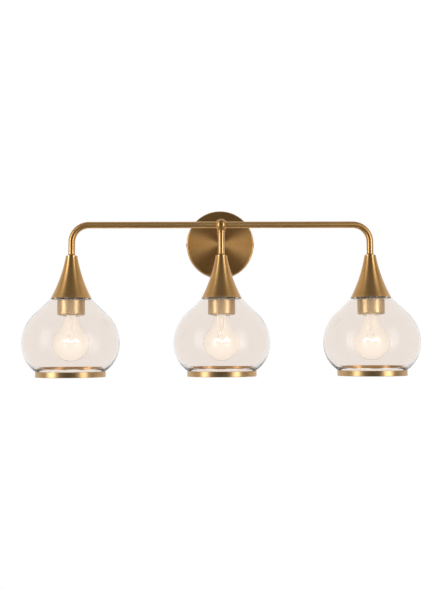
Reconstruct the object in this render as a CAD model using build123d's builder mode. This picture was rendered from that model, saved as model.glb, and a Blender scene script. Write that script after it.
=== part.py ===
from build123d import *
import os
from math import asin, cos, degrees, radians, sin, sqrt

# Three-light vanity bar with its shades hanging down. A round canopy on the wall carries a horizontal stem,
# a ball hub and a tube bar. Three drops end in spun cones, each with a lampholder, a clear onion-shaped glass
# shade, the threaded ring that clamps the shade, and a screw-in lamp.
#
# Millimetres. The origin is the centre of the canopy's back rim, on the wall. +Z is up, +X is to the right as
# seen from the front, and the front faces -Y. Each lamp repeats about its own vertical axis. Its heights,
# named with DROP, are counted down from the bar's axis.

os.makedirs("parts", exist_ok=True)

# ---------------------------------------------------------------- driving dimensions

PITCH = 248.0                 # from one lamp axis to the next
BAR_Z = 18.0                  # the bar's axis stands this far above the canopy's centre
ARM_Y = -130.0                # plane of the bar and the lamps
LAMPS = {"left": -PITCH, "centre": 0.0, "right": PITCH}

TUBE_R = 5.5
BORE_R = 4.0
BEND_R = 28.5                 # the bar's centre line where it turns down
HUB_R = 10.0
HUB_BORE_END = 6.0            # tubes stop this far from the hub's centre
HUB_NECK_DROP = 13.0

NIPPLE_BORE_R = 3.2           # hollow threaded rod that fills the tubes' bore
LEAD_R = 0.8
LEAD_STEP = 1.82              # between two leads that run side by side

CANOPY_R = 60.3
CANOPY_DEPTH = 22.0
CANOPY_WALL = 1.2
CANOPY_EDGE_R = 3.0

BAR_BRACKET_T = 1.5           # the mounting crossbar's sheet
BAR_BRACKET_HALF = 58.2
BAR_BRACKET_H = 20.0
BOX_SCREW_SPACING = 88.9      # a junction box's two ears
BOX_SLOT_LENGTH = 12.0
BOX_SLOT_WIDTH = 4.8
SIDE_SCREW_Y = -8.0
SIDE_SCREW_R = 1.9
GROUND_SCREW_X = 22.0

COLLAR_DROP = 48.8
COLLAR_R = 9.7
CONE_DROP = 53.3
CONE_FOOT_DROP = 122.4
CONE_FLARE_R = 239.0          # the cone's hollow outline is one long arc
CONE_WALL = 1.2

HOLDER_DROP = 100.0
HOLDER_R = 19.3
HOLDER_MOUTH_R = 16.5
HOLDER_END_DROP = 151.0
SHELL_R = 14.2
SHELL_WALL = 0.6

GLASS_DROP = 122.6            # the shade's flat top, just under the cone's foot
GLASS_WALL = 2.5
GLASS_HOLE_R = 20.3
GLASS_TOP_R = 33.0
GLASS_MAX_R = 79.5
GLASS_FOOT_DROP = 242.1       # where the bowl meets the trim ring
GLASS_LIP_R = 55.6
GLASS_LIP_INNER_R = 53.1
GLASS_LIP_DROP = 237.5        # inside, the bowl turns into the lip with a crease
GLASS_END_DROP = 250.3
TRIM_R = 57.0
TRIM_DROP = 242.3
TRIM_END_DROP = 251.3

CUP_R = 22.5                  # the threaded ring that clamps the shade
CUP_BORE_R = 19.6
CUP_DROP = 126.2
CUP_END_DROP = 149.6
CUP_LIP_R = 17.6

BULB_TIP_DROP = 119.3
BULB_BASE_R = 13.0
BULB_BASE_DROP = 122.3
BULB_RIM_DROP = 145.6
BULB_NECK_R = 13.0
BULB_NECK_DROP = 150.0
BULB_R = 30.0
BULB_CENTRE_DROP = 197.3
BULB_WALL = 0.8


# ---------------------------------------------------------------- helpers


def write(piece, name):
    """Labels a finished piece and writes it."""
    piece.part.label = name
    export_step(piece.part, f"parts/{name}.step")


def lamp_plane(x):
    """The plane through a lamp's axis: local x is the radius, local y the height above the bar's axis."""
    return Plane(origin=(x, ARM_Y, BAR_Z), x_dir=(1, 0, 0), z_dir=(0, -1, 0))


def lamp_axis(x):
    """A lamp's own vertical axis."""
    return Axis((x, ARM_Y, 0), (0, 0, 1))


def turned(x, points):
    """A piece turned about a lamp's axis from an outline of straight edges, given as (radius, drop)."""
    with BuildPart() as piece:
        with BuildSketch(lamp_plane(x)):
            with BuildLine():
                Polyline([(radius, -drop) for radius, drop in points], close=True)
            make_face()
        revolve(axis=lamp_axis(x))
    return piece


def heading(angle):
    """A unit direction in the sketch plane, from its angle in degrees."""
    return (cos(radians(angle)), sin(radians(angle)))


# ---------------------------------------------------------------- canopy and its fixings


def make_canopy():
    """A shallow spun pan, open at the wall."""
    front = Plane(origin=(0, -CANOPY_DEPTH, 0), x_dir=(1, 0, 0), z_dir=(0, 1, 0))
    with BuildPart() as canopy:
        with BuildSketch(front):
            Circle(CANOPY_R)
        extrude(amount=CANOPY_DEPTH)
        fillet(canopy.edges().group_by(Axis.Y)[0], CANOPY_EDGE_R)
        offset(amount=-CANOPY_WALL, openings=canopy.faces().sort_by(Axis.Y)[-1])
        with Locations((0, -CANOPY_DEPTH, BAR_Z)):
            Cylinder(BORE_R, 4 * CANOPY_WALL, rotation=(90, 0, 0), mode=Mode.SUBTRACT)
        with Locations((0, SIDE_SCREW_Y, 0)):
            Cylinder(SIDE_SCREW_R, 3 * CANOPY_R, rotation=(0, 90, 0), mode=Mode.SUBTRACT)
    write(canopy, "canopy")


def make_mounting_crossbar():
    """A bent strip: it lies on the wall box, and its two ears take the canopy's side screws."""
    ear_out = 14.0
    ear_height = 14.0
    strip = Plane(origin=(0, 0, 0), x_dir=(1, 0, 0), z_dir=(0, -1, 0))
    with BuildPart() as crossbar:
        with BuildSketch(strip):
            Rectangle(2 * BAR_BRACKET_HALF, ear_height)
            Rectangle(2 * BAR_BRACKET_HALF - 14, BAR_BRACKET_H)
        extrude(amount=BAR_BRACKET_T)
        with Locations(
            (-BAR_BRACKET_HALF + BAR_BRACKET_T / 2, -ear_out / 2, 0),
            (BAR_BRACKET_HALF - BAR_BRACKET_T / 2, -ear_out / 2, 0),
        ):
            Box(BAR_BRACKET_T, ear_out, ear_height)
        with BuildSketch(strip):
            with Locations((-BOX_SCREW_SPACING / 2, 0), (BOX_SCREW_SPACING / 2, 0)):
                SlotOverall(BOX_SLOT_LENGTH, BOX_SLOT_WIDTH)
        extrude(amount=BAR_BRACKET_T, mode=Mode.SUBTRACT)
        with Locations((0, SIDE_SCREW_Y, 0)):
            Cylinder(SIDE_SCREW_R, 3 * CANOPY_R, rotation=(0, 90, 0), mode=Mode.SUBTRACT)
        with Locations((GROUND_SCREW_X, 0, 0)):
            Cylinder(2.0, 4 * BAR_BRACKET_T, rotation=(90, 0, 0), mode=Mode.SUBTRACT)
    write(crossbar, "mounting_crossbar")


def make_side_screws():
    """Two low-headed screws through the canopy's rim into the crossbar's ears."""
    head_r = 3.5
    head_t = 0.8
    shank = 8.0
    socket_r = 1.2
    with BuildPart() as screws:
        for side in (-1, 1):
            rim = Plane(origin=(side * CANOPY_R, SIDE_SCREW_Y, 0), x_dir=(0, 1, 0), z_dir=(side, 0, 0))
            with BuildSketch(rim):
                Circle(head_r)
            extrude(amount=head_t)
            with BuildSketch(rim):
                Circle(SIDE_SCREW_R)
            extrude(amount=-shank)
            with BuildSketch(rim.offset(head_t)):
                RegularPolygon(socket_r, 6)
            extrude(amount=-1.0, mode=Mode.SUBTRACT)
    write(screws, "canopy_side_screws")


def make_ground_screw():
    """A hexagon-headed screw that holds the ground lead on the crossbar."""
    neck_end = 3.3
    head_t = 2.6
    wall = Plane(origin=(GROUND_SCREW_X, 0, 0), x_dir=(1, 0, 0), z_dir=(0, -1, 0))
    with BuildPart() as screw:
        with BuildSketch(wall):
            Circle(2.0)
        extrude(amount=neck_end)
        with BuildSketch(wall.offset(neck_end)):
            RegularPolygon(4.2, 6)
        extrude(amount=head_t)
        with BuildSketch(wall.offset(neck_end + head_t)):
            Rectangle(5.0, 1.0)
        extrude(amount=-1.0, mode=Mode.SUBTRACT)
    write(screw, "ground_screw")


CONNECTOR_TOP_Z = -20.0
CONNECTOR_Y = -9.4
CONNECTORS = {"black": -16.0, "white": 16.0, "ground": 36.0}


def make_wire_connectors():
    """Three twist-on connectors: ribbed caps with an open mouth."""
    mouth_r = 3.7
    with BuildPart() as connectors:
        for x in CONNECTORS.values():
            mouth = Plane(origin=(x, CONNECTOR_Y, CONNECTOR_TOP_Z), x_dir=(1, 0, 0), z_dir=(0, 0, -1))
            with BuildSketch(mouth):
                Circle(5.6)
                with PolarLocations(5.6, 6):
                    Circle(0.7)
            with BuildSketch(mouth.offset(20)):
                Circle(3.6)
                with PolarLocations(3.6, 6):
                    Circle(0.45)
            loft()
            with BuildSketch(mouth):
                Circle(mouth_r)
            extrude(amount=9.0, mode=Mode.SUBTRACT)
    write(connectors, "wire_connectors")


# ---------------------------------------------------------------- stem, hub, arms


def stem_plane(y):
    """A plane square to the stem, facing the wall, with local y up."""
    return Plane(origin=(0, y, BAR_Z), x_dir=(-1, 0, 0), z_dir=(0, 1, 0))


def make_stem():
    """The horizontal tube from the canopy to the hub, with its threaded rod, washer and nut."""
    inner_face = -CANOPY_DEPTH + CANOPY_WALL
    washer_t = 1.2
    nut_t = 4.0
    with BuildPart() as stem:
        with BuildSketch(stem_plane(ARM_Y + HUB_BORE_END)):
            Circle(TUBE_R)
            Circle(BORE_R, mode=Mode.SUBTRACT)
        extrude(amount=-ARM_Y - HUB_BORE_END - CANOPY_DEPTH)
    write(stem, "stem_tube")

    with BuildPart() as nipple:
        with BuildSketch(stem_plane(-CANOPY_DEPTH - 14)):
            Circle(BORE_R)
            Circle(NIPPLE_BORE_R, mode=Mode.SUBTRACT)
        extrude(amount=22)
    write(nipple, "stem_nipple")

    with BuildPart() as washer:
        with BuildSketch(stem_plane(inner_face)):
            Circle(8.0)
            Circle(BORE_R, mode=Mode.SUBTRACT)
        extrude(amount=washer_t)
    write(washer, "stem_washer")

    with BuildPart() as nut:
        with BuildSketch(stem_plane(inner_face + washer_t)):
            RegularPolygon(7.5, 6)
            Circle(BORE_R, mode=Mode.SUBTRACT)
        extrude(amount=nut_t)
    write(nut, "stem_nut")


def make_hub_ball():
    """The ball where the stem, both arms and the middle drop meet, with a short neck on the drop."""
    neck_r = 6.3
    waist_z = -8.2
    waist_r = sqrt(HUB_R**2 - waist_z**2)
    with BuildPart() as hub:
        with BuildSketch(lamp_plane(0)):
            with BuildLine():
                ThreePointArc((0, HUB_R), (HUB_R, 0), (waist_r, waist_z))
                ThreePointArc((waist_r, waist_z), (neck_r + 0.35, -10.8), (neck_r, -HUB_NECK_DROP))
                Polyline((neck_r, -HUB_NECK_DROP), (0, -HUB_NECK_DROP), (0, HUB_R))
            make_face()
        revolve(axis=lamp_axis(0))
        with Locations((0, ARM_Y, BAR_Z)):
            Cylinder(TUBE_R, 3 * HUB_R, rotation=(0, 90, 0), mode=Mode.SUBTRACT)
        with BuildSketch(Plane(origin=(0, ARM_Y, BAR_Z), x_dir=(1, 0, 0), z_dir=(0, 0, -1))):
            Circle(TUBE_R)
        extrude(amount=2 * HUB_R, mode=Mode.SUBTRACT)
        with BuildSketch(stem_plane(ARM_Y)):
            Circle(TUBE_R)
        extrude(amount=2 * HUB_R, mode=Mode.SUBTRACT)
    write(hub, "hub_ball")


TUBE_END_DROP = COLLAR_DROP + 2.5


def make_arms():
    """The bar's two bent halves and the straight middle drop."""
    for side, x in (("left", -PITCH), ("right", PITCH)):
        towards = 1 if x > 0 else -1
        start = (towards * HUB_BORE_END, ARM_Y, BAR_Z)
        with BuildPart() as arm:
            with BuildLine():
                FilletPolyline(start, (x, ARM_Y, BAR_Z), (x, ARM_Y, BAR_Z - TUBE_END_DROP), radius=BEND_R)
            with BuildSketch(Plane(origin=start, x_dir=(0, 1, 0), z_dir=(towards, 0, 0))):
                Circle(TUBE_R)
                Circle(BORE_R, mode=Mode.SUBTRACT)
            sweep()
        write(arm, f"{side}_arm")

    drop = turned(
        0,
        [
            (BORE_R, HUB_BORE_END),
            (TUBE_R, HUB_BORE_END),
            (TUBE_R, TUBE_END_DROP),
            (BORE_R, TUBE_END_DROP),
        ],
    )
    write(drop, "centre_drop_tube")


# ---------------------------------------------------------------- leads


def lead(points, bends):
    """One insulated lead along a route of straight runs and arcs."""
    with BuildPart() as wire:
        with BuildLine():
            FilletPolyline(points, radius=bends)
        start = Vector(points[0])
        with BuildSketch(Plane(origin=start, z_dir=Vector(points[1]) - start)):
            Circle(LEAD_R)
        sweep()
    return wire.part


def lamp_lead(x, across, up, turn_y, goal_x):
    """A lead from a lampholder, up its drop and through the stem, down into a connector.

    across and up give its place in the stem's bore, turn_y where it turns down behind the canopy's face, and
    goal_x where it enters the connector.
    """
    start_z = BAR_Z - HOLDER_DROP - 8
    stem_end = [
        (across, turn_y, BAR_Z + up),
        (goal_x, turn_y, CONNECTOR_TOP_Z + 9),
        (goal_x, turn_y, CONNECTOR_TOP_Z - 8),
    ]
    if x == 0:
        in_front = ARM_Y - 1.9
        route = [(across, in_front, start_z), (across, in_front, BAR_Z + up)] + stem_end
        return lead(route, [2.5, 2.0, 8.0])
    towards = 1 if x > 0 else -1
    drop_x = x + towards * up
    route = [(drop_x, ARM_Y, start_z), (drop_x, ARM_Y, BAR_Z + up), (across, ARM_Y, BAR_Z + up)] + stem_end
    return lead(route, [BEND_R + up, 2.5, 2.0, 8.0])


def make_leads():
    """Each lamp's black and white lead, and the ground lead. No two routes meet."""
    side = 2.1                # a lead's place in the stem: left and right of the axis
    half = side / 2
    deep = -7.0               # the leads turn down in three layers
    middle = deep - 2.4
    shallow = middle - 2.4
    black = CONNECTORS["black"]
    white = CONNECTORS["white"]
    black_leads = [
        lamp_lead(-PITCH, -side, 0, middle, black - 0.95),
        lamp_lead(PITCH, side, 0, middle, black + 0.95),
        lamp_lead(0, -half, -LEAD_STEP, shallow, black),
    ]
    white_leads = [
        lamp_lead(-PITCH, -half, LEAD_STEP, deep, white - 0.95),
        lamp_lead(0, half, LEAD_STEP, deep, white + 0.95),
        lamp_lead(PITCH, half, -LEAD_STEP, shallow, white),
    ]
    for name, leads in (("black_leads", black_leads), ("white_leads", white_leads)):
        with BuildPart() as group:
            for wire in leads:
                add(wire)
        write(group, name)

    beside = GROUND_SCREW_X + 2.0 + LEAD_R
    under_head = -BAR_BRACKET_T - LEAD_R - 0.1
    route = [
        (beside, under_head, 3),
        (beside, under_head, -11),
        (CONNECTORS["ground"], CONNECTOR_Y, -17),
        (CONNECTORS["ground"], CONNECTOR_Y, CONNECTOR_TOP_Z - 8),
    ]
    with BuildPart() as ground:
        add(lead(route, [4.0, 4.0]))
    write(ground, "ground_lead")


# ---------------------------------------------------------------- what each lamp repeats


def make_nipples_and_nuts():
    """The hollow threaded rods that hold the cones and lampholders, and the nuts inside the cones."""
    top_drop = TUBE_END_DROP - 8
    nut_drop = CONE_DROP + 1.5
    with BuildPart() as nipples:
        for x in LAMPS.values():
            rod = turned(
                x,
                [
                    (NIPPLE_BORE_R, top_drop),
                    (BORE_R, top_drop),
                    (BORE_R, HOLDER_DROP + 4),
                    (NIPPLE_BORE_R, HOLDER_DROP + 4),
                ],
            )
            add(rod.part)
    write(nipples, "lamp_nipples")

    with BuildPart() as nuts:
        for x in LAMPS.values():
            under_cone = Plane(origin=(x, ARM_Y, BAR_Z - nut_drop), x_dir=(1, 0, 0), z_dir=(0, 0, -1))
            with BuildSketch(under_cone):
                RegularPolygon(6.9, 6)
                Circle(BORE_R, mode=Mode.SUBTRACT)
            extrude(amount=4)
    write(nuts, "cone_lock_nuts")


def make_collar(side, x):
    """A thin flared collar on the drop tube's end, standing on the cone."""
    lip_r = TUBE_R + 0.3
    flare_drop = COLLAR_DROP + 2.8
    with BuildPart() as collar:
        with BuildSketch(lamp_plane(x)):
            with BuildLine():
                ThreePointArc((lip_r, -COLLAR_DROP), (lip_r + 1.2, -COLLAR_DROP - 2), (COLLAR_R, -flare_drop))
                Polyline(
                    (COLLAR_R, -flare_drop),
                    (COLLAR_R, -CONE_DROP),
                    (BORE_R, -CONE_DROP),
                    (BORE_R, -TUBE_END_DROP),
                    (TUBE_R, -TUBE_END_DROP),
                    (TUBE_R, -COLLAR_DROP),
                    (lip_r, -COLLAR_DROP),
                )
            make_face()
        revolve(axis=lamp_axis(x))
    write(collar, f"{side}_collar")


def cone_radius(drop, wall):
    """The cone's radius at a height: its outline is an arc whose centre lies far outside, above its top."""
    centre_r = 244.8
    centre_drop = 10.9
    return centre_r - sqrt((CONE_FLARE_R + wall) ** 2 - (drop - centre_drop) ** 2)


def make_cone(side, x):
    """A spun trumpet cone, closed at the top round the threaded rod and open at its foot."""
    top = CONE_DROP + 1.5
    middle = (CONE_DROP + CONE_FOOT_DROP) / 2
    with BuildPart() as cone:
        with BuildSketch(lamp_plane(x)):
            with BuildLine():
                ThreePointArc(
                    (cone_radius(CONE_DROP, 0), -CONE_DROP),
                    (cone_radius(middle, 0), -middle),
                    (cone_radius(CONE_FOOT_DROP, 0), -CONE_FOOT_DROP),
                )
                Line(
                    (cone_radius(CONE_FOOT_DROP, 0), -CONE_FOOT_DROP),
                    (cone_radius(CONE_FOOT_DROP, CONE_WALL), -CONE_FOOT_DROP),
                )
                ThreePointArc(
                    (cone_radius(CONE_FOOT_DROP, CONE_WALL), -CONE_FOOT_DROP),
                    (cone_radius(middle, CONE_WALL), -middle),
                    (cone_radius(top, CONE_WALL), -top),
                )
                Polyline(
                    (cone_radius(top, CONE_WALL), -top),
                    (BORE_R, -top),
                    (BORE_R, -CONE_DROP),
                    (cone_radius(CONE_DROP, 0), -CONE_DROP),
                )
            make_face()
        revolve(axis=lamp_axis(x))
    write(cone, f"{side}_cone")


HOLDER_FLOOR_DROP = 114.0
HOLDER_WELL_DROP = 117.0


def make_lampholder(side, x):
    """The ceramic holder with its shell and centre contact."""
    boss_drop = HOLDER_DROP - 4
    body = turned(
        x,
        [
            (BORE_R, boss_drop),
            (8.0, boss_drop),
            (8.0, HOLDER_DROP),
            (HOLDER_R - 1, HOLDER_DROP),
            (HOLDER_R, HOLDER_DROP + 1),
            (HOLDER_R, 146.4),
            (HOLDER_MOUTH_R, 146.4),
            (HOLDER_MOUTH_R, HOLDER_END_DROP - 1),
            (HOLDER_MOUTH_R - 1, HOLDER_END_DROP),
            (SHELL_R, HOLDER_END_DROP),
            (SHELL_R, HOLDER_WELL_DROP),
            (1.5, HOLDER_WELL_DROP),
            (1.5, HOLDER_FLOOR_DROP),
            (13.0, HOLDER_FLOOR_DROP),
            (13.0, HOLDER_DROP + 4),
            (BORE_R, HOLDER_DROP + 4),
        ],
    )
    write(body, f"{side}_lampholder")

    shell_end = 146.0
    inner_r = SHELL_R - SHELL_WALL
    shell = turned(
        x,
        [
            (6.5, HOLDER_WELL_DROP),
            (SHELL_R, HOLDER_WELL_DROP),
            (SHELL_R, shell_end),
            (inner_r, shell_end),
            (inner_r, HOLDER_WELL_DROP + SHELL_WALL),
            (6.5, HOLDER_WELL_DROP + SHELL_WALL),
        ],
    )
    write(shell, f"{side}_screw_shell")

    contact = turned(
        x,
        [
            (0, HOLDER_FLOOR_DROP - 2),
            (2.5, HOLDER_FLOOR_DROP - 2),
            (2.5, HOLDER_FLOOR_DROP),
            (1.5, HOLDER_FLOOR_DROP),
            (1.5, HOLDER_WELL_DROP),
            (4.5, HOLDER_WELL_DROP),
            (4.5, HOLDER_WELL_DROP + 0.6),
            (2.5, BULB_TIP_DROP - 0.1),
            (0, BULB_TIP_DROP - 0.1),
        ],
    )
    write(contact, f"{side}_centre_contact")


def make_shade(side, x):
    """The clear onion-shaped shade: a flat holed top, a drawn-out shoulder, a full bowl and a short lip.

    The wall is even down to the widest point and thickens towards the lip.
    """
    shoulder_r = 386.0
    bowl_r = 68.0
    shoulder_turn = 5.0
    bowl_turn = 48.0
    first = bowl_turn - shoulder_turn - 90
    belly_r = 56.5
    shoulder_drop = shoulder_r * (sin(radians(bowl_turn)) - sin(radians(bowl_turn - shoulder_turn)))
    max_drop = GLASS_DROP + shoulder_drop + bowl_r * sin(radians(bowl_turn))
    belly_turn = degrees(asin((GLASS_FOOT_DROP - max_drop) / belly_r))
    lip_rise = GLASS_LIP_DROP - max_drop
    lip_in = GLASS_MAX_R - GLASS_WALL - GLASS_LIP_INNER_R
    inner_belly_r = (lip_in**2 + lip_rise**2) / (2 * lip_in)
    inner_turn = degrees(asin(lip_rise / inner_belly_r))
    out_x, out_y = heading(first + 90)
    inner_start = (GLASS_TOP_R - GLASS_WALL * out_x, -GLASS_DROP - GLASS_WALL * out_y)
    with BuildPart() as shade:
        with BuildSketch(lamp_plane(x)):
            with BuildLine():
                shoulder = JernArc((GLASS_TOP_R, -GLASS_DROP), heading(first), shoulder_r, shoulder_turn)
                bowl = JernArc(shoulder @ 1, shoulder % 1, bowl_r, -bowl_turn)
                belly = JernArc(bowl @ 1, bowl % 1, belly_r, -belly_turn)
                inner_shoulder = JernArc(inner_start, heading(first), shoulder_r + GLASS_WALL, shoulder_turn)
                inner_bowl = JernArc(inner_shoulder @ 1, inner_shoulder % 1, bowl_r - GLASS_WALL, -bowl_turn)
                inner_belly = JernArc(inner_bowl @ 1, inner_bowl % 1, inner_belly_r, -inner_turn)
                Polyline(
                    belly @ 1,
                    (GLASS_LIP_R, -GLASS_FOOT_DROP - 0.2),
                    (GLASS_LIP_R, -GLASS_END_DROP + 0.8),
                    (GLASS_LIP_R - 0.8, -GLASS_END_DROP),
                    ((inner_belly @ 1).X + 0.8, -GLASS_END_DROP),
                    ((inner_belly @ 1).X, -GLASS_END_DROP + 0.8),
                    inner_belly @ 1,
                )
                Polyline(
                    inner_start,
                    (24.0, -GLASS_DROP - GLASS_WALL),
                    (GLASS_HOLE_R, -GLASS_DROP - GLASS_WALL),
                    (GLASS_HOLE_R, -GLASS_DROP),
                    (GLASS_TOP_R, -GLASS_DROP),
                )
            make_face()
        revolve(axis=lamp_axis(x))
    write(shade, f"{side}_shade")

    gasket_top = GLASS_DROP + GLASS_WALL
    gasket = turned(
        x,
        [
            (GLASS_HOLE_R, gasket_top),
            (CUP_R - 0.2, gasket_top),
            (CUP_R - 0.2, gasket_top + 1),
            (GLASS_HOLE_R, gasket_top + 1),
        ],
    )
    write(gasket, f"{side}_shade_gasket")


def make_trim_ring(side, x):
    """The brass band round the shade's lip, turned in under it."""
    edge = 0.5
    inner_r = GLASS_LIP_R + 0.05
    trim = turned(
        x,
        [
            (inner_r, TRIM_DROP),
            (TRIM_R - edge, TRIM_DROP),
            (TRIM_R, TRIM_DROP + edge),
            (TRIM_R, TRIM_END_DROP - edge),
            (TRIM_R - edge, TRIM_END_DROP),
            (GLASS_LIP_INNER_R + 0.4, TRIM_END_DROP),
            (GLASS_LIP_INNER_R + 0.4, GLASS_END_DROP),
            (inner_r, GLASS_END_DROP),
        ],
    )
    write(trim, f"{side}_trim_ring")


def make_retaining_ring(side, x):
    """The brass cup that screws up the holder and clamps the shade under the cone."""
    ring = turned(
        x,
        [
            (CUP_BORE_R, CUP_DROP),
            (CUP_R - 0.3, CUP_DROP),
            (CUP_R, CUP_DROP + 0.3),
            (CUP_R, CUP_END_DROP - 1.6),
            (CUP_R - 1.6, CUP_END_DROP),
            (CUP_LIP_R, CUP_END_DROP),
            (CUP_LIP_R, CUP_END_DROP - 1.4),
            (CUP_BORE_R, CUP_END_DROP - 1.4),
        ],
    )
    write(ring, f"{side}_retaining_ring")


def make_bulb(side, x):
    """A clear screw-in lamp: glass, threaded shell, insulated tip and the mount that holds the filament."""
    rise = BULB_CENTRE_DROP - BULB_NECK_DROP
    neck_arc = (rise**2 + BULB_NECK_R**2 - BULB_R**2) / (2 * (BULB_R - BULB_NECK_R))
    neck_turn = degrees(asin(rise / (neck_arc + BULB_R)))
    crown_turn = neck_turn + 90
    down = (0, -1)
    inner_neck_r = BULB_NECK_R - BULB_WALL
    glass_top = BULB_RIM_DROP - 2.4
    with BuildPart() as glass:
        with BuildSketch(lamp_plane(x)):
            with BuildLine():
                neck = JernArc((BULB_NECK_R, -BULB_NECK_DROP), down, neck_arc, neck_turn)
                crown = JernArc(neck @ 1, neck % 1, BULB_R, -crown_turn)
                inner_neck = JernArc((inner_neck_r, -BULB_NECK_DROP), down, neck_arc + BULB_WALL, neck_turn)
                inner_crown = JernArc(inner_neck @ 1, inner_neck % 1, BULB_R - BULB_WALL, -crown_turn)
                Line(crown @ 1, inner_crown @ 1)
                Polyline(
                    (BULB_NECK_R, -BULB_NECK_DROP),
                    (BULB_NECK_R, -BULB_RIM_DROP),
                    (inner_neck_r, -glass_top),
                    (inner_neck_r - BULB_WALL, -glass_top),
                    (inner_neck_r - BULB_WALL, -BULB_RIM_DROP),
                    (inner_neck_r, -BULB_NECK_DROP),
                )
            make_face()
        revolve(axis=lamp_axis(x))
    write(glass, f"{side}_bulb_glass")

    pitch = 3.6
    threads = 5
    root_r = BULB_BASE_R - 0.9
    first = BULB_BASE_DROP + 1.6
    with BuildPart() as base:
        with BuildSketch(lamp_plane(x)):
            with BuildLine():
                for turn in range(threads):
                    at = -first - turn * pitch
                    ThreePointArc((root_r, at), (BULB_BASE_R, at - pitch / 2), (root_r, at - pitch))
                Polyline(
                    (root_r, -first - threads * pitch),
                    (BULB_NECK_R, -first - threads * pitch - 0.8),
                    (BULB_NECK_R, -BULB_RIM_DROP),
                    (inner_neck_r, -glass_top),
                    (root_r - 1.2, -glass_top),
                    (root_r - 1.2, -BULB_BASE_DROP),
                    (root_r - 0.6, -BULB_BASE_DROP),
                    (root_r, -first),
                )
            make_face()
        revolve(axis=lamp_axis(x))
    write(base, f"{side}_bulb_base")

    tip = turned(
        x,
        [
            (0, BULB_TIP_DROP),
            (3.5, BULB_TIP_DROP),
            (4.8, BULB_TIP_DROP + 0.9),
            (root_r - 0.6, BULB_BASE_DROP),
            (root_r - 1.2, BULB_BASE_DROP),
            (root_r - 1.2, BULB_BASE_DROP + 1.2),
            (0, BULB_BASE_DROP + 1.2),
        ],
    )
    write(tip, f"{side}_bulb_tip")

    flare_top = glass_top - 0.6
    mount = turned(
        x,
        [
            (0, flare_top),
            (root_r - 1.2, flare_top),
            (root_r - 1.2, flare_top + 2.4),
            (5.0, 152.0),
            (3.0, 160.0),
            (2.0, 175.0),
            (1.2, 182.0),
            (1.2, 207.0),
            (0, 208.0),
        ],
    )
    write(mount, f"{side}_bulb_mount")


make_canopy()
make_mounting_crossbar()
make_side_screws()
make_ground_screw()
make_wire_connectors()
make_stem()
make_hub_ball()
make_arms()
make_leads()
make_nipples_and_nuts()
for lamp_side, lamp_x in LAMPS.items():
    make_collar(lamp_side, lamp_x)
    make_cone(lamp_side, lamp_x)
    make_lampholder(lamp_side, lamp_x)
    make_shade(lamp_side, lamp_x)
    make_trim_ring(lamp_side, lamp_x)
    make_retaining_ring(lamp_side, lamp_x)
    make_bulb(lamp_side, lamp_x)
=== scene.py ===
"""Looks for a three-light vanity bar: aged brass, clear blown-glass shades and lit clear lamps.

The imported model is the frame. Every size and place below is read from its nodes, in metres.
"""

import math

import bpy
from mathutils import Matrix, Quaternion, Vector


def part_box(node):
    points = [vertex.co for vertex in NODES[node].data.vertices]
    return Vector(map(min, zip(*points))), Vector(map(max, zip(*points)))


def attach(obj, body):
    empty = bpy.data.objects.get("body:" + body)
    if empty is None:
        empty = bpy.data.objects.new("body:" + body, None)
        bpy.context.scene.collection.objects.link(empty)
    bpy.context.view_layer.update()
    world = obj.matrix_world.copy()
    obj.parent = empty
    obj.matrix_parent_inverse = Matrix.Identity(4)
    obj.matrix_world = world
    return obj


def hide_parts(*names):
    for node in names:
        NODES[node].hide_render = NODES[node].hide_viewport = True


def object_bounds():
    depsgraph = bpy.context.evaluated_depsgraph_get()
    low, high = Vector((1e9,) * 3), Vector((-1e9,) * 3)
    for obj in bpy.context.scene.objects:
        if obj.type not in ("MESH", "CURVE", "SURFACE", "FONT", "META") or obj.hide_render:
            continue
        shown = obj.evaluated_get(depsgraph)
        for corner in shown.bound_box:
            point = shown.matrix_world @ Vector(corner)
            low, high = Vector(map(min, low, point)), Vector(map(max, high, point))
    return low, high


bl_info = {
    "name": "Vanity light bar",
    "version": (1, 0, 0),
    "blender": (4, 5, 0),
    "location": "View3D > Sidebar > Vanity bar",
    "description": "Finishes and fine pieces for a three-light vanity bar",
    "category": "Object",
}

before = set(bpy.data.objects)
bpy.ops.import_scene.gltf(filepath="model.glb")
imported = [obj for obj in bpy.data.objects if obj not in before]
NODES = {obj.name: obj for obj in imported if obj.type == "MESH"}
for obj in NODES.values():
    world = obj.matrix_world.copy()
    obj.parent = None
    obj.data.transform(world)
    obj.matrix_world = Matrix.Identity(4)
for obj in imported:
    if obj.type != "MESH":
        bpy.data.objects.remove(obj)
CAD_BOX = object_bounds()

MM = 0.001
LINE_DEPTH = 0.1 * MM         # how deep the brass's fine lines can be
SHADE_INDEX = 1.19            # below real glass, to keep the rims and lip light
LAMP_INDEX = 1.18
BEND_R = 28.5 * MM
SIDES = ("left", "centre", "right")


def axis_of(side):
    """A lamp's own vertical axis, as x and y."""
    low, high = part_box(f"{side}_shade")
    return ((low.x + high.x) / 2, (low.y + high.y) / 2)


LAMP_AXES = {side: axis_of(side) for side in SIDES}


# ---------------------------------------------------------------- shader building blocks


def add_node(tree, kind, inputs=(), **settings):
    """Adds a node, sets its own settings, and fills its inputs with values or links."""
    made = tree.nodes.new(kind)
    for name, value in settings.items():
        setattr(made, name, value)
    for name, value in dict(inputs).items():
        feed(tree, made.inputs[name], value)
    return made


def feed(tree, socket, value):
    """Links an output to a socket, or sets the socket's own value."""
    if isinstance(value, bpy.types.NodeSocket):
        tree.links.new(value, socket)
    else:
        socket.default_value = value


def maths(tree, operation, first, second=0.0):
    """One Math node."""
    return add_node(tree, "ShaderNodeMath", {0: first, 1: second}, operation=operation).outputs[0]


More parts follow.
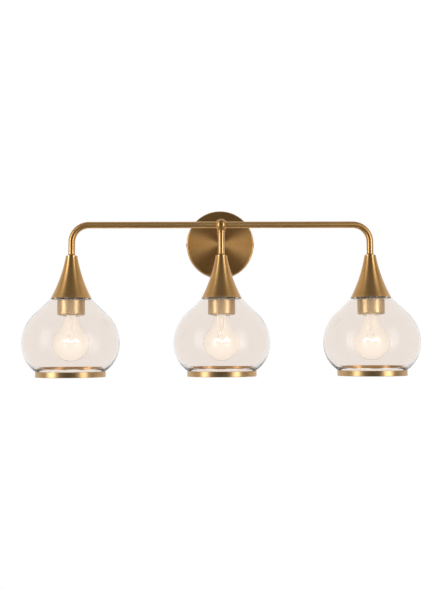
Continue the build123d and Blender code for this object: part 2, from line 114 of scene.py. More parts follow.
def blend_colours(tree, factor, first, second, blend="MIX"):
    """One colour Mix node."""
    mix = add_node(tree, "ShaderNodeMix", data_type="RGBA", blend_type=blend)
    feed(tree, mix.inputs["Factor"], factor)
    feed(tree, mix.inputs[6], first)
    feed(tree, mix.inputs[7], second)
    return mix.outputs[2]


def spread(tree, value, low, high, to_low=0.0, to_high=1.0):
    """One clamped Map Range node."""
    inputs = {"Value": value, "From Min": low, "From Max": high, "To Min": to_low, "To Max": to_high}
    return add_node(tree, "ShaderNodeMapRange", inputs, clamp=True).outputs["Result"]


def start_group(name, inputs, outputs):
    """Makes an empty shader node group with named sockets."""
    group = bpy.data.node_groups.new(name, "ShaderNodeTree")
    for socket, kind in inputs:
        group.interface.new_socket(name=socket, in_out="INPUT", socket_type=kind)
    for socket, kind in outputs:
        group.interface.new_socket(name=socket, in_out="OUTPUT", socket_type=kind)
    start = group.nodes.new("NodeGroupInput")
    end = group.nodes.new("NodeGroupOutput")
    return group, start.outputs, end.inputs


def place_group(tree, group, inputs):
    """Places a group in a material and fills its inputs."""
    made = tree.nodes.new("ShaderNodeGroup")
    made.node_tree = group
    for name, value in inputs.items():
        feed(tree, made.inputs[name], value)
    return made.outputs


VECTOR = "NodeSocketVector"
COLOUR = "NodeSocketColor"
NUMBER = "NodeSocketFloat"


def make_tarnish_group():
    """Aged metal: slow clouds and small specks between a bright and a deep colour."""
    group, given, out = start_group(
        "Tarnish",
        [
            ("Position", VECTOR),
            ("Bright", COLOUR),
            ("Deep", COLOUR),
            ("Cloud scale", NUMBER),
            ("Amount", NUMBER),
        ],
        [("Colour", COLOUR), ("Mask", NUMBER)],
    )
    clouds = add_node(
        group,
        "ShaderNodeTexNoise",
        {"Vector": given["Position"], "Scale": given["Cloud scale"], "Detail": 5.0, "Roughness": 0.62},
    )
    speck_scale = maths(group, "MULTIPLY", given["Cloud scale"], 14.0)
    specks = add_node(
        group,
        "ShaderNodeTexNoise",
        {"Vector": given["Position"], "Scale": speck_scale, "Detail": 3.0, "Roughness": 0.7},
    )
    cloud = spread(group, clouds.outputs["Fac"], 0.36, 0.66)
    speck = spread(group, specks.outputs["Fac"], 0.56, 0.72, 0.0, 0.55)
    both = maths(group, "MAXIMUM", cloud, speck)
    mask = maths(group, "MULTIPLY", both, given["Amount"])
    feed(group, out["Colour"], blend_colours(group, mask, given["Bright"], given["Deep"]))
    feed(group, out["Mask"], mask)
    return group


def fine_lines(group, place):
    """Noise that reads as fine lines once its place is stretched."""
    return add_node(
        group, "ShaderNodeTexNoise", {"Vector": place, "Scale": 1.0, "Detail": 3.0, "Roughness": 0.6}
    ).outputs["Fac"]


def make_turning_group():
    """Fine lines round a turned or spun piece, whose axis is Z through the position's origin."""
    group, given, out = start_group(
        "Turning lines",
        [("Position", VECTOR), ("Lines per metre", NUMBER), ("Depth", NUMBER), ("Normal", VECTOR)],
        [("Lines", NUMBER), ("Normal", VECTOR)],
    )
    parts = add_node(group, "ShaderNodeSeparateXYZ", {"Vector": given["Position"]}).outputs
    x_squared = maths(group, "MULTIPLY", parts["X"], parts["X"])
    y_squared = maths(group, "MULTIPLY", parts["Y"], parts["Y"])
    radius = maths(group, "SQRT", maths(group, "ADD", x_squared, y_squared))
    angle = maths(group, "ARCTAN2", parts["Y"], parts["X"])
    across = maths(group, "MULTIPLY", radius, given["Lines per metre"])
    along = maths(group, "MULTIPLY", parts["Z"], given["Lines per metre"])
    place = add_node(group, "ShaderNodeCombineXYZ", {"X": across, "Y": angle, "Z": along}).outputs[0]
    lines = fine_lines(group, place)
    bump = add_node(
        group,
        "ShaderNodeBump",
        {"Strength": given["Depth"], "Distance": LINE_DEPTH, "Height": lines, "Normal": given["Normal"]},
    )
    feed(group, out["Lines"], lines)
    feed(group, out["Normal"], bump.outputs["Normal"])
    return group


def make_drawn_group():
    """Fine scratches along a drawn tube. Stretch is large across the tube and small along it."""
    group, given, out = start_group(
        "Drawn lines",
        [("Position", VECTOR), ("Stretch", VECTOR), ("Depth", NUMBER)],
        [("Lines", NUMBER), ("Normal", VECTOR)],
    )
    place = add_node(
        group, "ShaderNodeVectorMath", {0: given["Position"], 1: given["Stretch"]}, operation="MULTIPLY"
    ).outputs[0]
    lines = fine_lines(group, place)
    bump = add_node(
        group, "ShaderNodeBump", {"Strength": given["Depth"], "Distance": LINE_DEPTH, "Height": lines}
    )
    feed(group, out["Lines"], lines)
    feed(group, out["Normal"], bump.outputs["Normal"])
    return group


def make_worn_edge_group():
    """Where a piece is rubbed bright: its outer edges, broken up by noise."""
    group, given, out = start_group(
        "Worn edges", [("Position", VECTOR), ("Start", NUMBER), ("Amount", NUMBER)], [("Mask", NUMBER)]
    )
    sharpness = add_node(group, "ShaderNodeNewGeometry").outputs["Pointiness"]
    noise = add_node(
        group, "ShaderNodeTexNoise", {"Vector": given["Position"], "Scale": 260.0, "Detail": 3.0}
    ).outputs["Fac"]
    edge = spread(group, sharpness, given["Start"], maths(group, "ADD", given["Start"], 0.06))
    broken = maths(group, "MULTIPLY", edge, spread(group, noise, 0.35, 0.6))
    feed(group, out["Mask"], maths(group, "MULTIPLY", broken, given["Amount"]))
    return group


def make_blown_group():
    """The slow unevenness of blown glass, as a normal, and a faint veil of dust and seeds as a mask."""
    group, given, out = start_group(
        "Blown glass", [("Position", VECTOR), ("Waviness", NUMBER)], [("Normal", VECTOR), ("Veil", NUMBER)]
    )
    slow = add_node(
        group,
        "ShaderNodeTexNoise",
        {"Vector": given["Position"], "Scale": 16.0, "Detail": 1.0, "Roughness": 0.4},
    ).outputs["Fac"]
    bump = add_node(
        group, "ShaderNodeBump", {"Strength": given["Waviness"], "Distance": 0.01, "Height": slow}
    )
    seeds = add_node(
        group, "ShaderNodeTexVoronoi", {"Vector": given["Position"], "Scale": 95.0}
    ).outputs["Distance"]
    feed(group, out["Normal"], bump.outputs["Normal"])
    feed(group, out["Veil"], spread(group, seeds, 0.05, 0.12, 1.0, 0.0))
    return group


GROUP_MAKERS = {
    "Tarnish": make_tarnish_group,
    "Turning lines": make_turning_group,
    "Drawn lines": make_drawn_group,
    "Worn edges": make_worn_edge_group,
    "Blown glass": make_blown_group,
}


def shared_group(name):
    """A node group, built the first time it is asked for."""
    return bpy.data.node_groups.get(name) or GROUP_MAKERS[name]()


def start_material(name, **sockets):
    """A material with one Principled shader, its constant sockets set, and an object-space position."""
    material = bpy.data.materials.new(name)
    material.use_nodes = True
    tree = material.node_tree
    tree.nodes.clear()
    output = tree.nodes.new("ShaderNodeOutputMaterial")
    shader = tree.nodes.new("ShaderNodeBsdfPrincipled")
    tree.links.new(shader.outputs["BSDF"], output.inputs["Surface"])
    for socket, value in sockets.items():
        shader.inputs[socket.replace("_", " ")].default_value = value
    position = tree.nodes.new("ShaderNodeTexCoord").outputs["Object"]
    return material, tree, shader, position


def centred(tree, position, x, y, z=0.0):
    """The position measured from a point."""
    return add_node(
        tree, "ShaderNodeVectorMath", {0: position, 1: (x, y, z)}, operation="SUBTRACT"
    ).outputs[0]


# ---------------------------------------------------------------- finishes


def aged_brass(
    name,
    looks,
    position_of,
    lines,
    depth,
    rough=0.0,
    turned=True,
    stretch=None,
    axis="Z",
    stretched=1.0,
    pale=0.0,
):
    """Aged brass with fine lines round its own axis, which stretch its highlights along that axis.

    stretched scales how far they do so, rough is added to the roughness, and pale mixes in the paler brass.
    """
    material, tree, shader, position = start_material(
        name,
        Metallic=1.0,
        Coat_Weight=0.0,
        Anisotropic=looks.brass_anisotropy * stretched,
        Anisotropic_Rotation=0.25,
    )
    if axis:
        tangent = add_node(tree, "ShaderNodeTangent", direction_type="RADIAL", axis=axis)
        tree.links.new(tangent.outputs["Tangent"], shader.inputs["Tangent"])
    local = position_of(tree, position)
    tarnish = place_group(
        tree,
        shared_group("Tarnish"),
        {
            "Position": position,
            "Bright": (*looks.brass_bright, 1.0),
            "Deep": (*looks.brass_deep, 1.0),
            "Cloud scale": 22.0,
            "Amount": looks.tarnish,
        },
    )
    if turned:
        surface = add_node(tree, "ShaderNodeNewGeometry").outputs["Normal"]
        marks = place_group(
            tree,
            shared_group("Turning lines"),
            {"Position": local, "Lines per metre": lines, "Depth": depth, "Normal": surface},
        )
    else:
        marks = place_group(
            tree, shared_group("Drawn lines"), {"Position": local, "Stretch": stretch, "Depth": depth}
        )
    worn = place_group(
        tree, shared_group("Worn edges"), {"Position": position, "Start": 0.53, "Amount": 0.5}
    )
    colour = blend_colours(tree, worn["Mask"], tarnish["Colour"], (*looks.brass_worn, 1.0))
    colour = blend_colours(tree, pale, colour, (*looks.brass_pale, 1.0))
    shade = spread(tree, marks["Lines"], 0.3, 0.7, 0.93, 1.0)
    feed(tree, shader.inputs["Base Color"], blend_colours(tree, 1.0, colour, shade, "MULTIPLY"))
    base = looks.brass_roughness + rough
    grain = spread(tree, marks["Lines"], 0.3, 0.7, base - 0.03, base + 0.04)
    dull = maths(tree, "MULTIPLY", tarnish["Mask"], 0.08)
    feed(tree, shader.inputs["Roughness"], maths(tree, "ADD", grain, dull))
    feed(tree, shader.inputs["Normal"], marks["Normal"])
    return material, tree, shader


def round_the_bar(tree):
    """The direction round the bar's tube: across its centre line along the bar, round each bend and down."""
    low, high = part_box("right_arm")
    tube_r = (high.y - low.y) / 2
    start_x = high.x - tube_r - BEND_R
    start_z = high.z - tube_r - BEND_R
    geometry = tree.nodes.new("ShaderNodeNewGeometry").outputs
    place = add_node(
        tree, "ShaderNodeSeparateXYZ", {"Vector": tree.nodes.new("ShaderNodeTexCoord").outputs["Object"]}
    ).outputs
    side = maths(tree, "SIGN", place["X"])
    from_middle = maths(tree, "ABSOLUTE", place["X"])
    past_x = maths(tree, "MAXIMUM", maths(tree, "SUBTRACT", from_middle, start_x), 0.0)
    past_z = maths(tree, "MAXIMUM", maths(tree, "SUBTRACT", place["Z"], start_z), 0.0)
    down = maths(tree, "MULTIPLY", maths(tree, "MULTIPLY", past_x, -1.0), side)
    along = add_node(tree, "ShaderNodeCombineXYZ", {"X": past_z, "Z": down}).outputs[0]
    return add_node(
        tree, "ShaderNodeVectorMath", {0: along, 1: geometry["Normal"]}, operation="CROSS_PRODUCT"
    ).outputs[0]


def plain_finish(name, colour, roughness, metallic=0.0, grain=300.0, depth=0.1, coat=0.0):
    """A moulded, plated or glazed finish with a little colour change and a fine grain."""
    material, tree, shader, position = start_material(name, Metallic=metallic, Coat_Weight=coat)
    tarnish = place_group(
        tree,
        shared_group("Tarnish"),
        {
            "Position": position,
            "Bright": (*colour, 1.0),
            "Deep": (*[c * 0.72 for c in colour], 1.0),
            "Cloud scale": 60.0,
            "Amount": 0.45,
        },
    )
    marks = place_group(
        tree,
        shared_group("Drawn lines"),
        {"Position": position, "Stretch": (grain, grain, grain), "Depth": depth},
    )
    feed(tree, shader.inputs["Base Color"], tarnish["Colour"])
    dull = maths(tree, "MULTIPLY", tarnish["Mask"], 0.12)
    feed(tree, shader.inputs["Roughness"], maths(tree, "ADD", dull, roughness))
    feed(tree, shader.inputs["Normal"], marks["Normal"])
    return material


def clear_glass(name, tint, roughness, waviness, index):
    """Clear glass with a slight tint and the unevenness of blowing."""
    material, tree, shader, position = start_material(
        name, Metallic=0.0, Transmission_Weight=1.0, IOR=index, Roughness=roughness
    )
    blown = place_group(tree, shared_group("Blown glass"), {"Position": position, "Waviness": waviness})
    paler = tuple(min(1.0, c * 1.02) for c in tint)
    feed(tree, shader.inputs["Base Color"], blend_colours(tree, blown["Veil"], (*tint, 1.0), (*paler, 1.0)))
    feed(tree, shader.inputs["Normal"], blown["Normal"])
    return material, tree, shader, position


def set_material(node, material):
    """Puts one material in every slot of a CAD node or piece."""
    slots = NODES[node].data.materials if isinstance(node, str) else node.data.materials
    if len(slots) == 0:
        slots.append(material)
    for index in range(len(slots)):
        slots[index] = material


# ---------------------------------------------------------------- mesh building blocks


def finish_mesh(name, points, faces, body):
    """A smooth mesh piece that rides on a body."""
    mesh = bpy.data.meshes.new(name)
    mesh.from_pydata(points, [], faces)
    mesh.validate()
    mesh.update()
    for face in mesh.polygons:
        face.use_smooth = True
    piece = bpy.data.objects.new(name, mesh)
    bpy.context.scene.collection.objects.link(piece)
    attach(piece, body)
    return piece


def lathe(outline, axis, segments):
    """Points and faces of an outline of (radius, height) turned about a vertical axis."""
    points, faces, rings = [], [], []
    for radius, height in outline:
        if radius < 1e-7:
            rings.append([len(points)])
            points.append((axis[0], axis[1], height))
            continue
        rings.append(list(range(len(points), len(points) + segments)))
        for step in range(segments):
            angle = math.tau * step / segments
            points.append((axis[0] + radius * math.cos(angle), axis[1] + radius * math.sin(angle), height))
    for lower, upper in zip(rings, rings[1:]):
        for step in range(segments):
            after = (step + 1) % segments
            corners = [
                lower[step % len(lower)],
                lower[after % len(lower)],
                upper[after % len(upper)],
                upper[step % len(upper)],
            ]
            corners = list(dict.fromkeys(corners))
            if len(corners) > 2:
                faces.append(corners)
    return points, faces


def tube(path, radius, sides, closed=False):
    """Points and faces of a round wire along a path of points."""
    points, faces = [], []
    count = len(path)
    across = Vector((0.0, 0.0, 1.0))
    for index, place in enumerate(path):
        before = path[index - 1] if index or closed else path[index]
        after = path[(index + 1) % count] if index < count - 1 or closed else path[index]
        ahead = (Vector(after) - Vector(before)).normalized()
        across = (across - ahead * across.dot(ahead))
        if across.length < 1e-4:
            across = ahead.orthogonal()
        across.normalize()
        beside = ahead.cross(across)
        for side in range(sides):
            angle = math.tau * side / sides
            points.append(Vector(place) + radius * (math.cos(angle) * across + math.sin(angle) * beside))
    spans = count if closed else count - 1
    for index in range(spans):
        first = index * sides
        second = ((index + 1) % count) * sides
        for side in range(sides):
            after = (side + 1) % sides
            faces.append((first + side, first + after, second + after, second + side))
    if not closed:
        faces.append(tuple(range(sides))[::-1])
        faces.append(tuple(range((count - 1) * sides, count * sides)))
    return [tuple(p) for p in points], faces


def join(parts):
    """Several (points, faces) lists as one."""
    points, faces = [], []
    for more_points, more_faces in parts:
        shift = len(points)
        points += more_points
        faces += [tuple(i + shift for i in face) for face in more_faces]
    return points, faces


# ---------------------------------------------------------------- settings


class VanityLooks(bpy.types.PropertyGroup):
    """Colours and finishes."""

    brass_bright: bpy.props.FloatVectorProperty(
        name="Brass",
        description="Colour of clean brass",
        subtype="COLOR",
        size=3,
        default=(0.62, 0.36, 0.135),
    )
    brass_deep: bpy.props.FloatVectorProperty(
        name="Tarnish",
        description="Colour of aged brass",
        subtype="COLOR",
        size=3,
        default=(0.42, 0.225, 0.072),
    )
    brass_pale: bpy.props.FloatVectorProperty(
        name="Pale brass",
        description="Colour of the cups and trim rings, which are paler",
        subtype="COLOR",
        size=3,
        default=(0.58, 0.45, 0.275),
    )
    brass_worn: bpy.props.FloatVectorProperty(
        name="Worn brass",
        description="Colour of rubbed edges",
        subtype="COLOR",
        size=3,
        default=(0.74, 0.49, 0.23),
    )
    tarnish: bpy.props.FloatProperty(
        name="Tarnish amount",
        description="How far the brass has aged",
        default=0.55,
        min=0.0,
        max=1.0,
        subtype="FACTOR",
    )
    brass_roughness: bpy.props.FloatProperty(
        name="Brass roughness", description="Base roughness of the brass", default=0.34, min=0.05, max=1.0
    )
    brass_anisotropy: bpy.props.FloatProperty(
        name="Brushing",
        description="How far the fine lines stretch a highlight",
        default=0.6,
        min=0.0,
        max=1.0,
    )
    glass_tint: bpy.props.FloatVectorProperty(
        name="Shade tint",
        description="Tint of the shade's glass",
        subtype="COLOR",
        size=3,
        default=(0.915, 0.868, 0.83),
    )
    lamp_colour: bpy.props.FloatVectorProperty(
        name="Lamp light",
        description="Colour of the lit filament",
        subtype="COLOR",
        size=3,
        default=(1.0, 0.90, 0.74),
    )
    # Painted glow on the lamps' glass: emission that stands in for the filament's glare.
    painted_glow_colour: bpy.props.FloatVectorProperty(
        name="Glow",
        description="Colour of the glow on a lamp's glass",
        subtype="COLOR",
        size=3,
        default=(1.0, 0.97, 0.9),
    )
    painted_glow_strength: bpy.props.FloatProperty(
        name="Glow strength", description="Brightness of the glow on a lamp's glass", default=0.085, min=0.0
    )
    lamp_strength: bpy.props.FloatProperty(
        name="Lamp strength", description="Brightness of the lit filament", default=160.0, min=0.0
    )


class VanityStage(bpy.types.PropertyGroup):
    """Camera and studio."""

    camera_place: bpy.props.FloatVectorProperty(
        name="Camera", description="Place of the camera", subtype="TRANSLATION", unit="LENGTH", size=3,
        default=(-0.0256, -1.483, -0.1979),
    )
    camera_azimuth: bpy.props.FloatProperty(
        name="Azimuth", description="Camera's turn to the right of straight ahead", subtype="ANGLE",
        default=math.radians(1.08),
    )
    camera_rise: bpy.props.FloatProperty(
        name="Rise", description="Camera's upward tilt", subtype="ANGLE", default=math.radians(4.175)
    )
    camera_roll: bpy.props.FloatProperty(
        name="Roll", description="Camera's roll", subtype="ANGLE", default=math.radians(-0.27)
    )
    lens_mm: bpy.props.FloatProperty(name="Lens", description="Focal length in millimetres", default=50.0)
    softbox_power: bpy.props.FloatProperty(
        name="Softbox power", description="Power of each tall softbox", unit="POWER", default=42.0
    )


# ---------------------------------------------------------------- operators


class VANITY_OT_brass(bpy.types.Operator):
    """Finishes the canopy, stem, hub, bar, collars, cones, cups and trim rings in aged brass"""

    bl_idname = "vanity.brass"
    bl_label = "Brass pieces"

    def execute(self, context):
        looks = context.scene.vanity_looks

        def about_wall_axis(tree, position):
            parts = add_node(tree, "ShaderNodeSeparateXYZ", {"Vector": position}).outputs
            return add_node(
                tree, "ShaderNodeCombineXYZ", {"X": parts["X"], "Y": parts["Z"], "Z": parts["Y"]}
            ).outputs[0]

        canopy, _, _ = aged_brass(
            "canopy_brass", looks, about_wall_axis, 2400.0, 0.06, rough=-0.02, axis="Y", stretched=1.5
        )
        set_material("canopy", canopy)

        def as_it_is(tree, position):
            return position

        across, along = 5200.0, 400.0
        bar, tree, shader = aged_brass(
            "bar_brass", looks, as_it_is, 0.0, 0.05, turned=False, stretch=(across, along, along), axis=None
        )
        tree.links.new(round_the_bar(tree), shader.inputs["Tangent"])
        stem, _, _ = aged_brass(
            "stem_brass", looks, as_it_is, 0.0, 0.05, turned=False, stretch=(along, across, along), axis="Y"
        )
        drop, _, _ = aged_brass(
            "drop_brass", looks, as_it_is, 0.0, 0.05, turned=False, stretch=(along, along, across)
        )
        set_material("left_arm", bar)
        set_material("right_arm", bar)
        set_material("stem_tube", stem)
        set_material("centre_drop_tube", drop)
        set_material("canopy_side_screws", drop)
        set_material("hub_ball", drop)
        for side in SIDES:
            x, y = LAMP_AXES[side]

            def about_lamp_axis(tree, position, x=x, y=y):
                return centred(tree, position, x, y)

            spun, _, _ = aged_brass(f"{side}_spun_brass", looks, about_lamp_axis, 4200.0, 0.06, rough=-0.05)
            ring, _, _ = aged_brass(
                f"{side}_ring_brass", looks, about_lamp_axis, 4200.0, 0.06, rough=0.02, pale=0.35
            )
            cup, _, _ = aged_brass(
                f"{side}_cup_brass", looks, about_lamp_axis, 4200.0, 0.06, rough=0.1, stretched=0.8, pale=0.85
            )
            set_material(f"{side}_collar", spun)
            set_material(f"{side}_cone", spun)
            set_material(f"{side}_retaining_ring", cup)
            set_material(f"{side}_trim_ring", ring)
        return {"FINISHED"}


class VANITY_OT_fixings(bpy.types.Operator):
    """Finishes the crossbar, rods, nuts, leads, connectors, holders and gaskets"""

    bl_idname = "vanity.fixings"
    bl_label = "Hidden fixings"

    def execute(self, context):
        steel = plain_finish("zinc_plate", (0.60, 0.60, 0.57), 0.32, metallic=1.0, grain=900.0)
        plated = (
            "mounting_crossbar",
            "stem_nipple",
            "stem_washer",
            "stem_nut",
            "lamp_nipples",
            "cone_lock_nuts",
        )
        for node in plated:
            set_material(node, steel)
        green = plain_finish("ground_green", (0.03, 0.22, 0.07), 0.4)
        set_material("ground_screw", green)
        set_material("ground_lead", green)
        set_material("black_leads", plain_finish("black_insulation", (0.02, 0.02, 0.02), 0.45))
        set_material("white_leads", plain_finish("white_insulation", (0.80, 0.80, 0.77), 0.45))
        set_material("wire_connectors", plain_finish("connector_orange", (0.70, 0.24, 0.03), 0.5))
        ceramic = plain_finish("holder_ceramic", (0.84, 0.80, 0.72), 0.22, grain=500.0, depth=0.05, coat=0.4)
        shell = plain_finish("shell_metal", (0.82, 0.70, 0.45), 0.3, metallic=1.0)
        gasket = plain_finish("gasket", (0.74, 0.72, 0.66), 0.6)
        for side in SIDES:
            set_material(f"{side}_lampholder", ceramic)
            set_material(f"{side}_screw_shell", shell)
            set_material(f"{side}_centre_contact", shell)
            set_material(f"{side}_shade_gasket", gasket)
        return {"FINISHED"}


class VANITY_OT_shades(bpy.types.Operator):
    """Finishes the three blown-glass shades"""

    bl_idname = "vanity.shades"
    bl_label = "Glass shades"

    def execute(self, context):
        looks = context.scene.vanity_looks
        glass, _, _, _ = clear_glass("shade_glass", tuple(looks.glass_tint), 0.0, 0.05, SHADE_INDEX)
        for side in SIDES:
            set_material(f"{side}_shade", glass)
        return {"FINISHED"}


class VANITY_OT_lamps(bpy.types.Operator):
    """Makes each lit lamp: clear glass, stem, support wires and the coiled filament"""

    bl_idname = "vanity.lamps"
    bl_label = "Lamps"

    def execute(self, context):
        looks = context.scene.vanity_looks
        stem_glass, _, _, _ = clear_glass("lamp_stem_glass", (0.97, 0.96, 0.93), 0.02, 0.02, 1.35)
        cap = plain_finish("lamp_cap", (0.76, 0.74, 0.68), 0.28, metallic=1.0)
        insulator = plain_finish("lamp_insulator", (0.03, 0.03, 0.035), 0.15)
        wire = plain_finish("lamp_wire", (0.72, 0.66, 0.56), 0.3, metallic=1.0)
        lit, tree, shader, position = start_material("lit_filament", Roughness=0.5)
        shader.inputs["Base Color"].default_value = (*looks.lamp_colour, 1.0)
        shader.inputs["Emission Color"].default_value = (*looks.lamp_colour, 1.0)
        shader.inputs["Emission Strength"].default_value = looks.lamp_strength
        for side in SIDES:
            axis = LAMP_AXES[side]
            body = f"{side}_bulb"
            set_material(f"{side}_bulb_glass", lit_envelope(side, axis, looks))
            set_material(f"{side}_bulb_base", cap)
            set_material(f"{side}_bulb_tip", insulator)
            low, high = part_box(f"{side}_bulb_glass")
            stem, wires, filament = lamp_mount(side, axis, low.z, high.z, body)
            set_material(stem, stem_glass)
            set_material(wires, wire)
            set_material(filament, lit)
            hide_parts(f"{side}_bulb_mount")
        return {"FINISHED"}


def lit_envelope(side, axis, looks):
    """A lamp's clear glass with a painted glow on it: emission that stands in for the filament's glare,
    strongest near the filament and where the glass faces the viewer.
    """
    low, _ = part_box(f"{side}_bulb_glass")
    tint = (0.95, 0.925, 0.89)
    material, tree, shader, position = clear_glass(f"{side}_lamp_glass", tint, 0.05, 0.02, LAMP_INDEX)
    filament_rise = 24.0 * MM
    away = centred(tree, position, axis[0], axis[1], low.z + filament_rise)
    distance = add_node(tree, "ShaderNodeVectorMath", {0: away}, operation="LENGTH").outputs["Value"]
    near = spread(tree, distance, 26.0 * MM, 62.0 * MM, 1.0, 0.3)
    # Painted glow: the emission fades with distance from a point near the filament and towards the glass's
    # grazing edges.
    facing = add_node(tree, "ShaderNodeLayerWeight", {"Blend": 0.5}).outputs["Facing"]
    glow = maths(tree, "MULTIPLY", near, spread(tree, facing, 0.0, 0.75, 1.0, 0.35))
    colour = blend_colours(tree, glow, (0.0, 0.0, 0.0, 1.0), (*looks.painted_glow_colour, 1.0))
    feed(tree, shader.inputs["Emission Color"], colour)
    shader.inputs["Emission Strength"].default_value = looks.painted_glow_strength
    return material


def lamp_mount(side, axis, bottom, top, body):
    """The glass stem, the wires that stand on it, and the coiled filament that they hold."""
    coil_z = bottom + 35.0 * MM
    stem_foot = coil_z + 12.0 * MM
    outline = [
        (11.2 * MM, top - 0.4 * MM),
        (10.6 * MM, top - 2.5 * MM),
        (7.4 * MM, top - 6.0 * MM),
        (5.0 * MM, top - 11.0 * MM),
        (3.9 * MM, top - 18.0 * MM),
        (3.2 * MM, stem_foot + 9.0 * MM),
        (1.7 * MM, stem_foot + 7.0 * MM),
        (1.3 * MM, stem_foot + 3.0 * MM),
        (2.0 * MM, stem_foot + 1.0 * MM),
        (1.6 * MM, stem_foot - 0.6 * MM),
        (0.0, stem_foot - 1.0 * MM),
    ]
    points, faces = lathe(outline, axis, 32)
    faces.append(tuple(range(32)))
    stem = finish_mesh(f"{side}_lamp_stem", points, faces, body)

    reach = 11.5 * MM
    opening = math.radians(70)
    turns = 64
    steps = 10
    coil = []
    for step in range(turns * steps + 1):
        share = step / (turns * steps)
        around = opening / 2 + share * (math.tau - opening) + math.pi / 2
        twist = math.tau * turns * share
        wave = 1.6 * MM * math.cos(4 * math.pi * share * 1.5)
        out = reach + 0.55 * MM * math.cos(twist)
        coil.append(
            (
                axis[0] + out * math.cos(around),
                axis[1] + out * math.sin(around),
                coil_z + wave + 0.55 * MM * math.sin(twist),
            )
        )
    points, faces = tube(coil, 0.16 * MM, 6)
    filament = finish_mesh(f"{side}_filament", points, faces, body)

    wires = []
    holds = [0.0, 0.25, 0.5, 0.75, 1.0]
    for share in holds:
        around = opening / 2 + share * (math.tau - opening) + math.pi / 2
        wave = 1.6 * MM * math.cos(4 * math.pi * share * 1.5)
        end = (axis[0] + reach * math.cos(around), axis[1] + reach * math.sin(around), coil_z + wave)
        lead = share in (0.0, 1.0)
        root_z = stem_foot + (11.0 * MM if lead else 0.0)
        root = (axis[0] + 1.2 * MM * math.cos(around), axis[1] + 1.2 * MM * math.sin(around), root_z)
        knee = (
            axis[0] + 0.55 * reach * math.cos(around),
            axis[1] + 0.55 * reach * math.sin(around),
            (root_z + end[2]) / 2 + 1.5 * MM,
        )
        wires.append(tube([root, knee, end], 0.28 * MM if lead else 0.18 * MM, 8))
    points, faces = join(wires)
    holders = finish_mesh(f"{side}_support_wires", points, faces, body)
    return stem, holders, filament


class VANITY_OT_stage(bpy.types.Operator):
    """Sets the camera, the pale seamless floor and the studio light"""

    bl_idname = "vanity.stage"
    bl_label = "Stage"

    def execute(self, context):
        stage = context.scene.vanity_stage
        lens = bpy.data.cameras.new("camera")
        lens.lens = stage.lens_mm
        lens.sensor_width = 36.0
        lens.clip_start = 0.01
        camera = bpy.data.objects.new("camera", lens)
        context.scene.collection.objects.link(camera)
        camera.location = stage.camera_place
        rise = stage.camera_rise
        turn = stage.camera_azimuth
        ahead = Vector((math.sin(turn) * math.cos(rise), math.cos(turn) * math.cos(rise), math.sin(rise)))
        camera.rotation_mode = "QUATERNION"
        camera.rotation_quaternion = ahead.to_track_quat("-Z", "Y") @ Quaternion((0, 0, 1), stage.camera_roll)
        context.scene.camera = camera

        low, high = CAD_BOX
        middle = (low + high) / 2
        make_backdrop(middle)
        for name, azimuth in (("left_softbox", -58.0), ("right_softbox", 47.0)):
            softbox(name, middle, azimuth, 6.0, 1.9, (1.1, 2.2), stage.softbox_power)
        light_world(context)
        context.scene.view_settings.view_transform = "Standard"
        return {"FINISHED"}


def make_backdrop(middle):
    """A pale seamless floor that curves up into a wall, far behind and below the object."""
    floor_z = middle.z - 1.9
    wall_y = 4.0
    bend = 1.2
    half = 5.0
    steps = 16
    line = [(-4.0, floor_z), (wall_y - bend, floor_z)]
    for step in range(1, steps + 1):
        angle = math.pi / 2 * step / steps
        line.append((wall_y - bend + bend * math.sin(angle), floor_z + bend - bend * math.cos(angle)))
    line.append((wall_y, floor_z + 5.0))
    points = [(side * half, y, z) for y, z in line for side in (-1, 1)]
    faces = [(2 * i, 2 * i + 1, 2 * i + 3, 2 * i + 2) for i in range(len(line) - 1)]
    mesh = bpy.data.meshes.new("backdrop")
    mesh.from_pydata(points, [], faces)
    for face in mesh.polygons:
        face.use_smooth = True
    backdrop = bpy.data.objects.new("backdrop", mesh)
    bpy.context.scene.collection.objects.link(backdrop)
    material = bpy.data.materials.new("backdrop")
    material.use_nodes = True
    tree = material.node_tree
    tree.nodes.clear()
    output = tree.nodes.new("ShaderNodeOutputMaterial")
    rays = tree.nodes.new("ShaderNodeLightPath").outputs
    seen = maths(tree, "MAXIMUM", rays["Is Camera Ray"], rays["Is Transmission Ray"])
    where = tree.nodes.new("ShaderNodeTexCoord").outputs["Object"]
    place = add_node(tree, "ShaderNodeSeparateXYZ", {"Vector": where})
    reflected = spread(tree, place.outputs["Y"], -0.3, 1.2, 0.2, 0.9)
    strength = maths(tree, "MAXIMUM", seen, reflected)
    white = add_node(tree, "ShaderNodeEmission", {"Color": (1, 1, 1, 1), "Strength": strength})
    tree.links.new(white.outputs[0], output.inputs["Surface"])
    mesh.materials.append(material)


def softbox(name, middle, azimuth, elevation, distance, size, power):
    """A rectangular softbox round the object, aimed at its middle. Azimuth 0 is in front."""
    lamp = bpy.data.lights.new(name, "AREA")
    lamp.shape = "RECTANGLE"
    lamp.size, lamp.size_y = size
    lamp.energy = power
    box = bpy.data.objects.new(name, lamp)
    bpy.context.scene.collection.objects.link(box)
    turn, rise = math.radians(azimuth), math.radians(elevation)
    away = Vector((math.sin(turn) * math.cos(rise), -math.cos(turn) * math.cos(rise), math.sin(rise)))
    box.location = middle + away * distance
    box.rotation_mode = "QUATERNION"
    box.rotation_quaternion = (-away).to_track_quat("-Z", "Y")
    lamp.use_nodes = True
    tree = lamp.node_tree
    emission = tree.nodes["Emission"]
    local = add_node(
        tree,
        "ShaderNodeSeparateXYZ",
        {"Vector": tree.nodes.new("ShaderNodeNewGeometry").outputs["Parametric"]},
    ).outputs
    edges = []
    for direction in ("X", "Y"):
        off = maths(tree, "ABSOLUTE", maths(tree, "SUBTRACT", local[direction], 0.5))
        edges.append(spread(tree, off, 0.15, 0.5, 1.0, 0.0))
    tree.links.new(maths(tree, "MULTIPLY", edges[0], edges[1]), emission.inputs["Strength"])


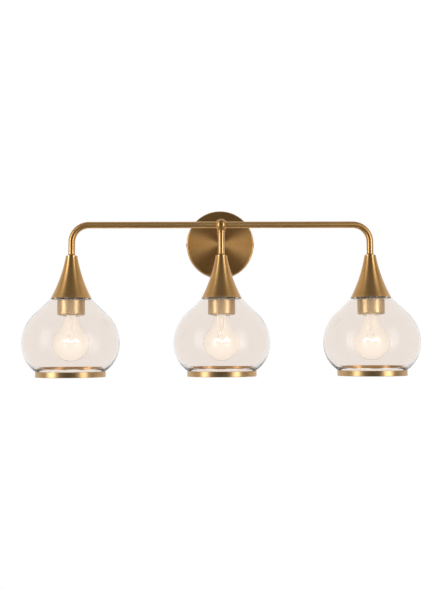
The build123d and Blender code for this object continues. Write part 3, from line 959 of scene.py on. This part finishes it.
def light_world(context):
    """A white surround where it is seen directly or through glass, and a dim one where it is reflected."""
    world = bpy.data.worlds.new("studio")
    context.scene.world = world
    world.use_nodes = True
    tree = world.node_tree
    tree.nodes.clear()
    output = tree.nodes.new("ShaderNodeOutputWorld")
    rays = tree.nodes.new("ShaderNodeLightPath").outputs
    seen = maths(tree, "MAXIMUM", rays["Is Camera Ray"], rays["Is Transmission Ray"])
    where = tree.nodes.new("ShaderNodeTexCoord").outputs["Generated"]
    place = add_node(tree, "ShaderNodeSeparateXYZ", {"Vector": where})
    near = spread(tree, place.outputs["Y"], -1.0, -0.75, 0.1, 0.24)
    far = spread(tree, place.outputs["Y"], -0.3, 0.35, 0.0, 0.66)
    strength = maths(tree, "MAXIMUM", seen, maths(tree, "ADD", near, far))
    background = add_node(tree, "ShaderNodeBackground", {"Color": (1, 1, 1, 1), "Strength": strength})
    tree.links.new(background.outputs[0], output.inputs["Surface"])


class VANITY_PT_panel(bpy.types.Panel):
    """Lists the vanity bar's operators and settings"""

    bl_idname = "VANITY_PT_panel"
    bl_label = "Vanity bar"
    bl_space_type = "VIEW_3D"
    bl_region_type = "UI"
    bl_category = "Vanity bar"

    def draw(self, context):
        layout = self.layout
        for settings in (context.scene.vanity_looks, context.scene.vanity_stage):
            for name in settings.__annotations__:
                layout.prop(settings, name)
        for operator in OPERATORS:
            layout.operator(operator.bl_idname)


OPERATORS = (
    VANITY_OT_stage,
    VANITY_OT_brass,
    VANITY_OT_fixings,
    VANITY_OT_shades,
    VANITY_OT_lamps,
)
CLASSES = (VanityLooks, VanityStage, *OPERATORS, VANITY_PT_panel)


def register():
    """Adds the classes and the scene's two groups of settings."""
    for each in CLASSES:
        bpy.utils.register_class(each)
    bpy.types.Scene.vanity_looks = bpy.props.PointerProperty(type=VanityLooks)
    bpy.types.Scene.vanity_stage = bpy.props.PointerProperty(type=VanityStage)


def unregister():
    """Takes away what register added."""
    del bpy.types.Scene.vanity_stage
    del bpy.types.Scene.vanity_looks
    for each in reversed(CLASSES):
        bpy.utils.unregister_class(each)


def main():
    """Makes everything."""
    register()
    bpy.ops.vanity.stage()
    bpy.ops.vanity.brass()
    bpy.ops.vanity.fixings()
    bpy.ops.vanity.shades()
    bpy.ops.vanity.lamps()
    bpy.context.view_layer.update()


if __name__ == "__main__":
    main()
